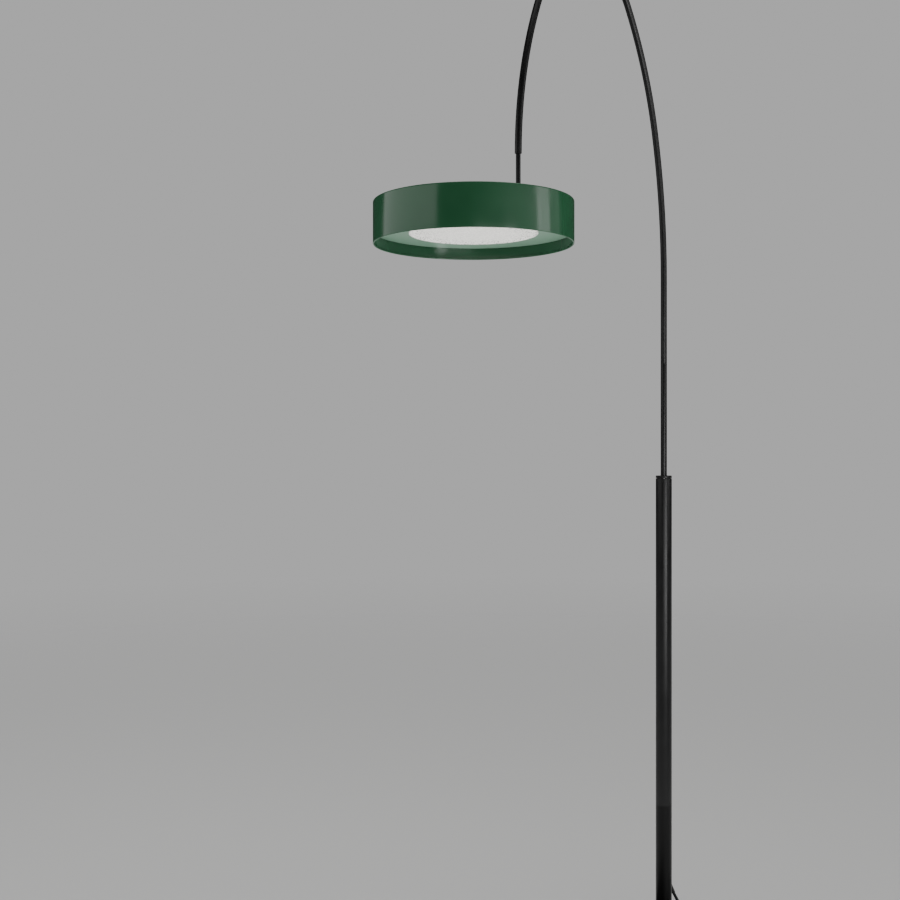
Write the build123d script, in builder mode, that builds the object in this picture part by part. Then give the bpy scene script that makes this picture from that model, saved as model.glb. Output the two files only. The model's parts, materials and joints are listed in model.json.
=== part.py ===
from build123d import *
import os
from math import cos, pi, radians, sin, tan

# Adjustable arm floor lamp, millimetres, +Z up.
# Origin: centre of the round base, on the floor. The arm reaches toward -X.
# A weighted base carries a vertical pole. An arched rod slides and turns in the pole's top,
# and a drum head with an LED light hangs from the rod's other end, turning about it.

os.makedirs("parts", exist_ok=True)


def save(piece, label):
    """Label a finished piece and write it to its own STEP file."""
    piece.part.label = label
    export_step(piece.part, f"parts/{label}.step")


# ---------------------------------------------------------------- driving dimensions
# Base
base_radius = 170.0
pad_radius = 160.0
pad_thickness = 2.0
weight_radius = 166.0
weight_thickness = 16.0
cover_wall = 1.5
weight_top = pad_thickness + weight_thickness
base_top = weight_top + cover_wall

# Pole: off centre on the base, away from the arm
pole_x = 110.0
pole_radius = 18.0
pole_bore = 16.0
foot_flange = 5.0
pole_bottom = base_top + foot_flange
pole_top = 1024.5

# Swivelling cap and the sleeve that guides the rod
groove = 1.0
cap_bottom = pole_top + groove
cap_top = cap_bottom + 5.5
sleeve_radius = 12.0
sleeve_bore = 8.5
sleeve_bottom = 845.0
running = 0.05

# Arched rod
rod_radius = 7.0
rod_bore = 5.5
stem_bottom = 735.0
joint_height = 1285.0
bend_start = 1481.0
rod_bends = ((1440.0, 13.0), (838.0, 18.8), (162.0, 116.5), (452.0, 8.6), (828.0, 23.1))
end_rod_radius = 4.75
end_rod_bore = 3.4

# Head
head_x = -536.0
head_radius = 190.0
head_wall = 1.5
head_bottom = 1477.0
head_top = 1557.0
plate_bottom = 1500.0
plate_thickness = 1.5
opening_radius = 108.0
diffuser_radius = 122.5

# Mains lead
cord_radius = 3.5
exit_height = 105.0
exit_slope = 54.0
relief_start = 7.0
relief_length = 30.0

# ---------------------------------------------------------------- base
with BuildPart() as base_pad:
    with BuildSketch() as pad_outline:
        Circle(pad_radius)
        with Locations((pole_x, 0)):
            Circle(12, mode=Mode.SUBTRACT)
    extrude(amount=pad_thickness)
save(base_pad, "base_pad")

bolt_seat = 11.0
with BuildPart() as base_weight:
    with BuildSketch(Plane.XY.offset(pad_thickness)):
        Circle(weight_radius)
    extrude(amount=weight_thickness)
    fillet(base_weight.edges().group_by(Axis.Z)[-1], 3)
    chamfer(base_weight.edges().group_by(Axis.Z)[0], 1)
    with BuildSketch(Plane.XY.offset(pad_thickness)):
        with Locations((pole_x, 0)):
            Circle(9.5)
    extrude(amount=bolt_seat - pad_thickness, mode=Mode.SUBTRACT)
    with BuildSketch(Plane.XY.offset(bolt_seat)):
        with Locations((pole_x, 0)):
            Circle(5.5)
    extrude(amount=weight_top - bolt_seat, mode=Mode.SUBTRACT)
save(base_weight, "base_weight")

cover_bottom = 3.0
with BuildPart() as base_cover:
    with BuildSketch(Plane.XY.offset(cover_bottom)):
        Circle(base_radius)
    extrude(amount=base_top - cover_bottom)
    fillet(base_cover.edges().group_by(Axis.Z)[-1], 4)
    with BuildPart(mode=Mode.PRIVATE) as cover_hollow:
        with BuildSketch(Plane.XY.offset(cover_bottom - 1)):
            Circle(base_radius - cover_wall)
        extrude(amount=weight_top - cover_bottom + 1)
        fillet(cover_hollow.edges().group_by(Axis.Z)[-1], 2.5)
    add(cover_hollow.part, mode=Mode.SUBTRACT)
    with BuildSketch(Plane.XY.offset(weight_top)):
        with Locations((pole_x, 0)):
            Circle(5.5)
    extrude(amount=cover_wall, mode=Mode.SUBTRACT)
save(base_cover, "base_cover")

# The pole's foot is a turned plug in the tube, bolted down from under the weight.
with BuildPart() as pole_foot:
    with BuildSketch(Plane.XY.offset(base_top)):
        with Locations((pole_x, 0)):
            Circle(22)
    extrude(amount=foot_flange)
    fillet(pole_foot.edges().group_by(Axis.Z)[-1], 2)
    with BuildSketch(Plane.XY.offset(pole_bottom)):
        with Locations((pole_x, 0)):
            Circle(pole_bore)
    extrude(amount=40)
    chamfer(pole_foot.edges().group_by(Axis.Z)[-1], 1)
    with BuildSketch(Plane.XY.offset(base_top)):
        with Locations((pole_x, 0)):
            Circle(5)
    extrude(amount=33, mode=Mode.SUBTRACT)
save(pole_foot, "pole_foot")

bolt_head_top = 9.0
with BuildPart() as pole_bolt:
    with BuildSketch(Plane.XY.offset(bolt_head_top)):
        with Locations((pole_x, 0)):
            Circle(5)
    extrude(amount=38)
    with BuildSketch(Plane.XY.offset(bolt_head_top)):
        with Locations((pole_x, 0)):
            Circle(8)
    extrude(amount=-6)
    with BuildSketch(Plane.XY.offset(bolt_head_top - 6)):
        with Locations((pole_x, 0)):
            RegularPolygon(4.6, 6)
    extrude(amount=4, mode=Mode.SUBTRACT)
save(pole_bolt, "pole_bolt")

with BuildPart() as pole_washer:
    with BuildSketch(Plane.XY.offset(bolt_head_top)):
        with Locations((pole_x, 0)):
            Circle(9.2)
            Circle(5.3, mode=Mode.SUBTRACT)
    extrude(amount=bolt_seat - bolt_head_top)
save(pole_washer, "pole_washer")

# ---------------------------------------------------------------- pole
# The lead leaves through a slanted hole low on the side away from the arm.
exit_dir = Vector(cos(radians(exit_slope)), 0, -sin(radians(exit_slope)))
exit_point = Vector(pole_x + pole_radius, 0, exit_height)


def exit_plane(distance):
    """A plane across the lead's way out, at a distance along it from the pole's surface."""
    return Plane(exit_point + exit_dir * distance, x_dir=(0, 1, 0), z_dir=exit_dir)


gland_radius = 6.0
lead_radius = 3.0
with BuildPart() as pole_tube:
    with BuildSketch(Plane.XY.offset(pole_bottom)):
        with Locations((pole_x, 0)):
            Circle(pole_radius)
            Circle(pole_bore, mode=Mode.SUBTRACT)
    extrude(amount=pole_top - pole_bottom)
    chamfer(pole_tube.faces().sort_by(Axis.Z)[-1].outer_wire().edges(), 0.4)
    with BuildSketch(exit_plane(-14)):
        Circle(gland_radius + 0.1)
    extrude(amount=30, mode=Mode.SUBTRACT)
save(pole_tube, "pole_tube")

with BuildPart() as cord_gland:
    with BuildSketch(exit_plane(-9)):
        Circle(gland_radius)
        Circle(cord_radius + 0.1, mode=Mode.SUBTRACT)
    extrude(amount=9 + relief_start)
save(cord_gland, "cord_gland")

with BuildPart() as strain_relief:
    with BuildSketch(exit_plane(relief_start)):
        Circle(5.4)
    with BuildSketch(exit_plane(relief_start + relief_length)):
        Circle(4.2)
    loft()
    with BuildSketch(exit_plane(relief_start)):
        Circle(cord_radius + 0.1)
    extrude(amount=relief_length, mode=Mode.SUBTRACT)
save(strain_relief, "strain_relief")

# Inside the pole the lead runs up its axis to a curly stretch, which lets the arm rise and turn.
curl_bottom = 200.0
curl_top = stem_bottom - 12.3
lead_corner = exit_height + pole_radius * tan(radians(exit_slope))
with BuildPart() as pole_lead:
    with BuildLine() as pole_lead_path:
        FilletPolyline(
            (pole_x, 0, curl_bottom),
            (pole_x, 0, lead_corner),
            exit_point + exit_dir * (relief_start + relief_length),
            radius=30,
        )
    with BuildSketch(Plane.XY.offset(curl_bottom)):
        with Locations((pole_x, 0)):
            Circle(lead_radius)
    sweep()
save(pole_lead, "pole_lead")

with BuildPart() as curly_lead:
    with BuildSketch(Plane.XY.offset(curl_bottom)):
        with Locations((pole_x, 0)):
            Circle(11)
    extrude(amount=curl_top - curl_bottom)
save(curly_lead, "curly_lead")


def ring(bottom, height, outer, inner, x=pole_x):
    """A round ring about a vertical axis."""
    with BuildPart() as made:
        with BuildSketch(Plane.XY.offset(bottom)):
            with Locations((x, 0)):
                Circle(outer)
                Circle(inner, mode=Mode.SUBTRACT)
        extrude(amount=height)
    return made


bush_radius = pole_bore - running
save(ring(pole_top - 40, 40, bush_radius, sleeve_radius + running), "top_bush")
save(ring(sleeve_bottom + 5, 30, bush_radius, sleeve_radius + running), "lower_bush")
save(ring(pole_top, 0.7, 15.5, sleeve_radius + 0.3), "thrust_washer")

# ---------------------------------------------------------------- swivel
with BuildPart() as swivel_cap:
    with BuildSketch(Plane.XY.offset(cap_bottom)):
        with Locations((pole_x, 0)):
            Circle(pole_radius)
            Circle(rod_radius + 0.4, mode=Mode.SUBTRACT)
    extrude(amount=cap_top - cap_bottom)
    fillet(swivel_cap.faces().sort_by(Axis.Z)[-1].outer_wire().edges(), 0.9)
    chamfer(swivel_cap.faces().sort_by(Axis.Z)[-1].inner_wires().edges(), 0.5)
save(swivel_cap, "swivel_cap")
save(ring(sleeve_bottom, cap_bottom - sleeve_bottom, sleeve_radius, sleeve_bore), "guide_sleeve")
save(ring(pole_top - 44.5, 2, 14, sleeve_radius), "sleeve_clip")

# Two plastic liners in the sleeve grip the rod, so that it stays at any height.
liner_length = 40.0
with BuildPart() as guide_liners:
    for liner_bottom in (sleeve_bottom, cap_bottom - liner_length):
        with BuildSketch(Plane.XY.offset(liner_bottom)):
            with Locations((pole_x, 0)):
                Circle(sleeve_bore)
                Circle(rod_radius + running, mode=Mode.SUBTRACT)
        extrude(amount=liner_length)
save(guide_liners, "guide_liners")

# ---------------------------------------------------------------- arm
save(ring(stem_bottom, joint_height - stem_bottom, rod_radius, rod_bore), "arm_stem")

with BuildPart() as stem_stop:
    with BuildSketch(Plane.XY.offset(stem_bottom - 12)):
        with Locations((pole_x, 0)):
            Circle(11)
            Circle(lead_radius + 0.3, mode=Mode.SUBTRACT)
    extrude(amount=12)
    chamfer(stem_stop.faces().sort_by(Axis.Z)[0].outer_wire().edges(), 1.5)
save(stem_stop, "stem_stop")
save(ring(joint_height - 60, 120, rod_bore, lead_radius + 0.5), "rod_joiner")


def arch_path(start_height):
    """The rod's centreline from a height on the stem, over the arch, to its vertical end."""
    with BuildLine(Plane.XZ) as path:
        part_of_path = Line((pole_x, start_height), (pole_x, bend_start))
        for bend_radius, bend_angle in rod_bends:
            part_of_path = JernArc(part_of_path @ 1, part_of_path % 1, bend_radius, bend_angle)
    return path


with BuildPart() as arm_arch:
    with BuildLine() as arch_line:
        add(arch_path(joint_height).line)
    with BuildSketch(Plane.XY.offset(joint_height)):
        with Locations((pole_x, 0)):
            Circle(rod_radius)
            Circle(rod_bore, mode=Mode.SUBTRACT)
    sweep()
save(arm_arch, "arm_arch")

arch_end = arch_path(joint_height).wire() @ 1
tip_x = arch_end.X
arch_bottom = arch_end.Z
arch_apex = arch_path(joint_height).wire().bounding_box().max.Z
print(f"arch: top of centreline {arch_apex:.1f}, end at x {tip_x:.1f}, z {arch_bottom:.1f}")

end_rod_bottom = 1536.0
ferrule_length = 14.0
ferrule_radius = rod_bore - 0.15
save(ring(arch_bottom, ferrule_length, ferrule_radius, end_rod_radius, tip_x), "end_ferrule")
end_rod_length = arch_bottom + ferrule_length - end_rod_bottom
save(ring(end_rod_bottom, end_rod_length, end_rod_radius, end_rod_bore, tip_x), "end_rod")

hub_bottom = 1543.0
save(ring(hub_bottom - 8.3, 8, 8, end_rod_radius, tip_x), "rod_end_collar")

with BuildPart() as arm_lead:
    with BuildLine() as arm_lead_line:
        add(arch_path(stem_bottom - 12).line)
        Line((tip_x, 0, arch_bottom), (tip_x, 0, end_rod_bottom))
    with BuildSketch(Plane.XY.offset(stem_bottom - 12)):
        with Locations((pole_x, 0)):
            Circle(lead_radius)
    sweep()
save(arm_lead, "arm_lead")

# ---------------------------------------------------------------- head
top_plate_bottom = head_top - head_wall
with BuildPart() as shade_shell:
    with BuildSketch(Plane.XY.offset(head_bottom)):
        with Locations((head_x, 0)):
            Circle(head_radius)
    extrude(amount=head_top - head_bottom)
    fillet(shade_shell.edges().group_by(Axis.Z)[-1], 2.5)
    with BuildPart(mode=Mode.PRIVATE) as shade_hollow:
        with BuildSketch(Plane.XY.offset(head_bottom)):
            with Locations((head_x, 0)):
                Circle(head_radius - head_wall)
        extrude(amount=top_plate_bottom - head_bottom)
        fillet(shade_hollow.edges().group_by(Axis.Z)[-1], 1)
    add(shade_hollow.part, mode=Mode.SUBTRACT)
    fillet(shade_shell.edges().group_by(Axis.Z)[0], 0.5)
    with BuildSketch(Plane.XY.offset(top_plate_bottom)):
        with Locations((tip_x, 0)):
            Circle(8.2)
    extrude(amount=head_wall, mode=Mode.SUBTRACT)
save(shade_shell, "shade_shell")

hub_bore = end_rod_radius + running
with BuildPart() as head_hub:
    with BuildSketch(Plane.XY.offset(head_top)):
        with Locations((tip_x, 0)):
            Circle(19)
    extrude(amount=5)
    fillet(head_hub.edges().group_by(Axis.Z)[-1], 1.5)
    with BuildSketch(Plane.XY.offset(head_top + 5)):
        with Locations((tip_x, 0)):
            Circle(10)
    extrude(amount=20)
    fillet(head_hub.edges().group_by(Axis.Z)[-1], 1.5)
    with BuildSketch(Plane.XY.offset(hub_bottom)):
        with Locations((tip_x, 0)):
            Circle(8)
    extrude(amount=head_top - hub_bottom)
    with BuildSketch(Plane.XY.offset(hub_bottom)):
        with Locations((tip_x, 0)):
            Circle(hub_bore)
    extrude(amount=head_top + 25 - hub_bottom, mode=Mode.SUBTRACT)
save(head_hub, "head_hub")

carrier_thickness = 2.0
carrier_bottom = top_plate_bottom - carrier_thickness
carrier_end = -70.0
carrier_reach = tip_x - head_x
with BuildPart() as carrier_plate:
    with BuildSketch(Plane.XY.offset(carrier_bottom)):
        with Locations((head_x + (carrier_reach + carrier_end) / 2, 0)):
            SlotCenterToCenter(carrier_reach - carrier_end - 100, 100 + 40)
        with Locations((tip_x, 0)):
            Circle(8.2, mode=Mode.SUBTRACT)
    extrude(amount=carrier_thickness)
save(carrier_plate, "carrier_plate")

washer_thickness = 1.5
nut_top = carrier_bottom - washer_thickness
save(ring(nut_top, washer_thickness, 15, 8.2, tip_x), "hub_washer")
with BuildPart() as hub_nut:
    with BuildSketch(Plane.XY.offset(nut_top - 7)):
        with Locations((tip_x, 0)):
            RegularPolygon(14, 6)
            Circle(8, mode=Mode.SUBTRACT)
    extrude(amount=7)
save(hub_nut, "hub_nut")

# Light unit, from the bottom up: diffuser, plate, mixing ring, LED board, heat sink, driver.
plate_top = plate_bottom + plate_thickness
sink_bottom = plate_top + 11.5
sink_thickness = 4.0
sink_top = sink_bottom + sink_thickness
board_thickness = 1.6
board_bottom = sink_bottom - board_thickness
post_ring = 62.0
plate_screw_ring = 116.0
mixing_bore = 112.0
mixing_outer = 120.0

with BuildPart() as inner_plate:
    with BuildSketch(Plane.XY.offset(plate_bottom)):
        with Locations((head_x, 0)):
            Circle(head_radius - head_wall - 0.3)
            Circle(opening_radius, mode=Mode.SUBTRACT)
            with PolarLocations(plate_screw_ring, 3):
                Circle(3.1, mode=Mode.SUBTRACT)
    extrude(amount=plate_thickness)
save(inner_plate, "inner_plate")

with BuildPart() as mixing_ring:
    with BuildSketch(Plane.XY.offset(plate_top)):
        with Locations((head_x, 0)):
            Circle(mixing_outer)
            Circle(mixing_bore, mode=Mode.SUBTRACT)
            with PolarLocations(plate_screw_ring, 3):
                Circle(1.7, mode=Mode.SUBTRACT)
    extrude(amount=sink_bottom - plate_top)
save(mixing_ring, "mixing_ring")

with BuildPart() as heat_sink:
    with BuildSketch(Plane.XY.offset(sink_bottom)):
        with Locations((head_x, 0)):
            Circle(mixing_outer)
            with PolarLocations(post_ring, 3, start_angle=60):
                Circle(1.7, mode=Mode.SUBTRACT)
    extrude(amount=sink_thickness)
    with BuildSketch(Plane.XY.offset(sink_bottom)):
        with Locations((head_x, 0)):
            with PolarLocations(plate_screw_ring, 3):
                Circle(1.5)
    extrude(amount=3, mode=Mode.SUBTRACT)
save(heat_sink, "heat_sink")

with BuildPart() as led_board:
    with BuildSketch(Plane.XY.offset(board_bottom)):
        with Locations((head_x, 0)):
            Circle(105)
            with PolarLocations(post_ring, 3, start_angle=60):
                Circle(1.7, mode=Mode.SUBTRACT)
    extrude(amount=board_thickness)
save(led_board, "led_board")

led_rings = ((20, 6), (42, 12), (80, 18), (98, 24))
with BuildPart() as leds:
    with BuildSketch(Plane.XY.offset(board_bottom)):
        with Locations((head_x, 0)):
            for led_ring, led_count in led_rings:
                with PolarLocations(led_ring, led_count):
                    Rectangle(3.5, 3.5)
    extrude(amount=-1)
save(leds, "leds")

with BuildPart() as plate_screws:
    with BuildSketch(Plane.XY.offset(plate_bottom)):
        with Locations((head_x, 0)):
            with PolarLocations(plate_screw_ring, 3):
                Circle(3)
    extrude(amount=plate_thickness)
    with BuildSketch(Plane.XY.offset(plate_top)):
        with Locations((head_x, 0)):
            with PolarLocations(plate_screw_ring, 3):
                Circle(1.5)
    extrude(amount=sink_bottom + 3 - plate_top)
save(plate_screws, "plate_screws")

with BuildPart() as spacer_posts:
    with BuildSketch(Plane.XY.offset(sink_top)):
        with Locations((head_x, 0)):
            with PolarLocations(post_ring, 3, start_angle=60):
                RegularPolygon(4.5, 6)
    extrude(amount=carrier_bottom - sink_top)
    with BuildSketch(Plane.XY.offset(sink_top)):
        with Locations((head_x, 0)):
            with PolarLocations(post_ring, 3, start_angle=60):
                Circle(1.5)
    extrude(amount=10, mode=Mode.SUBTRACT)
save(spacer_posts, "spacer_posts")

with BuildPart() as post_screws:
    with BuildSketch(Plane.XY.offset(board_bottom)):
        with Locations((head_x, 0)):
            with PolarLocations(post_ring, 3, start_angle=60):
                Circle(2.8)
    extrude(amount=-2.2)
    with BuildSketch(Plane.XY.offset(board_bottom)):
        with Locations((head_x, 0)):
            with PolarLocations(post_ring, 3, start_angle=60):
                Circle(1.5)
    extrude(amount=sink_top + 8 - board_bottom)
save(post_screws, "post_screws")

diffuser_thickness = 2.7
diffuser_bottom = plate_bottom - diffuser_thickness
with BuildPart() as diffuser:
    with BuildSketch(Plane.XY.offset(diffuser_bottom)):
        with Locations((head_x, 0)):
            Circle(diffuser_radius)
    extrude(amount=diffuser_thickness)
    fillet(diffuser.edges().group_by(Axis.Z)[0], 1)
save(diffuser, "diffuser")

# Three hooks on the diffuser's back spring over the edge of the plate's opening.
hook_gap = 0.3
with BuildPart() as diffuser_hooks:
    with Locations((head_x, 0, plate_bottom)):
        with PolarLocations(opening_radius - hook_gap - 1.5, 3, start_angle=30):
            Box(3, 10, 4.5, align=(Align.CENTER, Align.CENTER, Align.MIN))
    with Locations((head_x, 0, plate_top + hook_gap)):
        with PolarLocations(opening_radius - hook_gap + 0.5, 3, start_angle=30):
            Box(4, 10, 2.7, align=(Align.CENTER, Align.CENTER, Align.MIN))
save(diffuser_hooks, "diffuser_hooks")

driver_length = 104.0
driver_x = head_x + 2
with BuildPart() as driver:
    with BuildSketch(Plane.XY.offset(sink_top)):
        with Locations((driver_x, 0)):
            RectangleRounded(driver_length, 46, 4)
    extrude(amount=21)
    fillet(driver.edges().group_by(Axis.Z)[-1], 1.5)
    with BuildSketch(Plane.XY.offset(sink_top + 3)):
        with Locations((driver_x, 0)):
            with GridLocations(driver_length - 12, 0, 2, 1):
                Circle(3.4)
    extrude(amount=21, mode=Mode.SUBTRACT)
save(driver, "driver")

with BuildPart() as driver_screws:
    with BuildSketch(Plane.XY.offset(sink_top + 3)):
        with Locations((driver_x, 0)):
            with GridLocations(driver_length - 12, 0, 2, 1):
                Circle(2.8)
    extrude(amount=2.2)
save(driver_screws, "driver_screws")

block_x = head_x + 84
with BuildPart() as terminal_block:
    with BuildSketch(Plane.XY.offset(sink_top)):
        with Locations((block_x, 0)):
            Rectangle(16, 24)
    extrude(amount=12)
    chamfer(terminal_block.edges().group_by(Axis.Z)[-1], 1)
save(terminal_block, "terminal_block")

# The lead's tail comes out under the rod's end and turns into the terminal block.
with BuildPart() as head_lead:
    with BuildLine() as head_lead_line:
        FilletPolyline(
            (tip_x, 0, end_rod_bottom),
            (tip_x, 0, sink_top + 6),
            (block_x + 8, 0, sink_top + 6),
            radius=10,
        )
    with BuildSketch(Plane.XY.offset(end_rod_bottom)):
        with Locations((tip_x, 0)):
            Circle(lead_radius)
    sweep()
save(head_lead, "head_lead")

# ---------------------------------------------------------------- foot switch
# An oval housing that the lead runs through lengthwise, with one round push button on top.
switch_x = pole_x + 145.0
switch_y = -92.0
switch_length = 64.0
switch_width = 44.0
switch_wall = 2.0
switch_bottom = 0.3
switch_split = 7.0
switch_top = 21.0
switch_cord_height = 8.0
button_radius = 11.5
button_flange = 2.0
button_bottom = 15.5
button_top = 24.5


def switch_outline(inset):
    """The foot switch's oval plan, inset from its outer wall."""
    with Locations((switch_x, switch_y)):
        RectangleRounded(switch_width - 2 * inset, switch_length - 2 * inset, 20 - inset)


with BuildPart() as cord_way:
    with BuildSketch(Plane((switch_x, switch_y, switch_cord_height), x_dir=(1, 0, 0), z_dir=(0, 1, 0))):
        Circle(cord_radius + 0.8)
    extrude(amount=switch_length, both=True)

with BuildPart() as switch_base:
    with BuildSketch(Plane.XY.offset(switch_bottom)):
        switch_outline(0)
    extrude(amount=switch_split - switch_bottom)
    chamfer(switch_base.edges().group_by(Axis.Z)[0], 1)
    with BuildSketch(Plane.XY.offset(switch_bottom + switch_wall)):
        switch_outline(switch_wall)
    extrude(amount=switch_split, mode=Mode.SUBTRACT)
    add(cord_way.part, mode=Mode.SUBTRACT)
save(switch_base, "switch_base")

with BuildPart() as switch_cover:
    with BuildSketch(Plane.XY.offset(switch_split)):
        switch_outline(0)
    extrude(amount=switch_top - switch_split)
    fillet(switch_cover.edges().group_by(Axis.Z)[-1], 5)
    with BuildPart(mode=Mode.PRIVATE) as switch_hollow:
        with BuildSketch(Plane.XY.offset(switch_split)):
            switch_outline(switch_wall)
        extrude(amount=switch_top - switch_wall - switch_split)
        fillet(switch_hollow.edges().group_by(Axis.Z)[-1], 3)
    add(switch_hollow.part, mode=Mode.SUBTRACT)
    with BuildSketch(Plane.XY.offset(switch_split)):
        with Locations((switch_x, switch_y)):
            Circle(button_radius + 0.3)
    extrude(amount=switch_top, mode=Mode.SUBTRACT)
    add(cord_way.part, mode=Mode.SUBTRACT)
save(switch_cover, "switch_cover")

# Snap contacts on both sides of the lead, and a spring that pushes the button back up.
with BuildPart() as switch_contacts:
    with BuildSketch(Plane.XY.offset(switch_bottom + switch_wall)):
        with Locations((switch_x, switch_y)):
            with GridLocations(23, 0, 2, 1):
                Rectangle(12, 26)
    extrude(amount=8.5)
save(switch_contacts, "switch_contacts")

with BuildPart() as switch_button:
    with BuildSketch(Plane.XY.offset(button_bottom)):
        with Locations((switch_x, switch_y)):
            Circle(button_radius)
    extrude(amount=button_top - button_bottom)
    fillet(switch_button.edges().group_by(Axis.Z)[-1], 1.5)
    with BuildSketch(Plane.XY.offset(button_bottom)):
        with Locations((switch_x, switch_y)):
            Circle(button_radius + button_flange)
    extrude(amount=switch_top - switch_wall - 0.3 - button_bottom)
save(switch_button, "switch_button")

spring_bottom = switch_cord_height + cord_radius + 0.3
with BuildPart() as button_spring:
    with BuildSketch(Plane.XY.offset(spring_bottom)):
        with Locations((switch_x, switch_y)):
            Circle(5.5)
            Circle(4.3, mode=Mode.SUBTRACT)
    extrude(amount=button_bottom - 0.1 - spring_bottom)
save(button_spring, "button_spring")

# ---------------------------------------------------------------- mains lead
# From the relief it bends down to the floor behind the pole, turns through the foot switch
# and ends in a tied coil with the plug beside it.
floor_line = cord_radius + 0.1
coil_x = pole_x + 98.0
coil_y = -166.0
coil_inner = 27.5
coil_outer = 49.0
coil_bottom = 1.2
coil_height = 4 * cord_radius
coil_line = coil_bottom + cord_radius
outer_turn = coil_outer - cord_radius


def corner_radii(points):
    """One radius for each corner: 0.45 of the shorter run over the tangent of half the turn."""
    radii = []
    for before, corner, after in zip(points, points[1:], points[2:]):
        run_in = Vector(*corner) - Vector(*before)
        run_out = Vector(*after) - Vector(*corner)
        half_turn = radians(run_in.get_angle(run_out) / 2)
        radii.append(0.45 * min(run_in.length, run_out.length) / tan(half_turn))
    return radii


def lead_run(points, label):
    """A stretch of the lead as straight runs joined by tangent arcs."""
    radii = corner_radii(points)
    start = Vector(*points[0])
    with BuildPart() as run:
        with BuildLine() as run_line:
            FilletPolyline(*points, radius=radii)
        with BuildSketch(Plane(start, z_dir=Vector(*points[1]) - start)):
            Circle(cord_radius)
        sweep()
    length = sum(edge.length for edge in run_line.edges())
    ratio = run.part.volume / (pi * cord_radius**2 * length)
    print(f"{label}: length {length:.1f}, volume ratio {ratio:.4f}, radii", [round(r) for r in radii])
    save(run, label)
    return length


lead_start = exit_point + exit_dir * (relief_start + relief_length)
to_coil = [
    (lead_start.X, 0, lead_start.Z),
    (pole_x + 57, 0, 51.3),
    (pole_x + 76, -1, 29),
    (pole_x + 98, -4, 11),
    (pole_x + 123, -13, 4.5),
    (pole_x + 141, -32, 4.0),
    (switch_x, switch_y + switch_length / 2 - 1, switch_cord_height),
    (switch_x - 0.5, switch_y - switch_length / 2 - 1, switch_cord_height),
    (coil_x + outer_turn, coil_y + 4, coil_line),
]
plug_x = pole_x + 50.0
plug_y = coil_y - outer_turn - 4.0
plug_height = 7.2
to_plug = [
    (coil_x + 6, coil_y - outer_turn, coil_line + 2 * cord_radius),
    (coil_x - 20, plug_y, plug_height),
    (plug_x, plug_y, plug_height),
]
lead_length = lead_run(to_coil, "cord") + lead_run(to_plug, "cord_tail")

with BuildPart() as cord_coil:
    with BuildSketch(Plane.XY.offset(coil_bottom)):
        with Locations((coil_x, coil_y)):
            Circle(coil_outer)
            Circle(coil_inner, mode=Mode.SUBTRACT)
    extrude(amount=coil_height)
    fillet(cord_coil.edges(), 3)
save(cord_coil, "cord_coil")

turn_radii = [outer_turn - turn * (outer_turn - coil_inner - cord_radius) / 2 for turn in range(3)]
lead_length += 2 * sum(2 * pi * turn_radius for turn_radius in turn_radii)
print(f"lead: whole length about {lead_length / 1000:.2f} m")

tie_wall = 1.0
tie_gap = 0.1
tie_inner = coil_inner - 0.8
tie_outer = coil_outer + tie_gap
with BuildPart() as cord_tie:
    tie_plane = Plane((coil_x, coil_y, coil_bottom), x_dir=(-1, 1, 0), z_dir=(1, 1, 0))
    with BuildSketch(tie_plane):
        with Locations(((tie_inner + tie_outer) / 2, coil_height / 2)):
            RectangleRounded(tie_outer - tie_inner + 2 * tie_wall, coil_height + 2 * tie_gap + 2 * tie_wall, 2)
            RectangleRounded(tie_outer - tie_inner, coil_height + 2 * tie_gap, 1, mode=Mode.SUBTRACT)
    extrude(amount=6, both=True)
save(cord_tie, "cord_tie")

# Flat two-pin plug, lying beside the coil with its pins along -X.
plug_length = 36.0
with BuildPart() as plug_body:
    with BuildSketch(Plane((plug_x, plug_y, plug_height), x_dir=(0, 1, 0), z_dir=(-1, 0, 0))):
        RectangleRounded(13, 11, 4)
    with BuildSketch(Plane((plug_x - 20, plug_y, plug_height), x_dir=(0, 1, 0), z_dir=(-1, 0, 0))):
        RectangleRounded(33, 13.5, 5)
    loft()
    with BuildSketch(Plane((plug_x - 20, plug_y, plug_height), x_dir=(0, 1, 0), z_dir=(-1, 0, 0))):
        RectangleRounded(33, 13.5, 5)
    extrude(amount=plug_length - 20)
save(plug_body, "plug_body")

with BuildPart() as plug_pins:
    pin_plane = Plane((plug_x - plug_length, plug_y, plug_height), x_dir=(0, 1, 0), z_dir=(-1, 0, 0))
    with BuildSketch(pin_plane):
        with GridLocations(18.6, 0, 2, 1):
            Circle(2)
    extrude(amount=19)
    fillet(plug_pins.edges().group_by(Axis.X)[0], 1)
save(plug_pins, "plug_pins")
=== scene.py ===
import json
from math import ceil, cos, pi, radians, sin, tan

import bmesh
import bpy
from mathutils import Matrix, Vector


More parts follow.
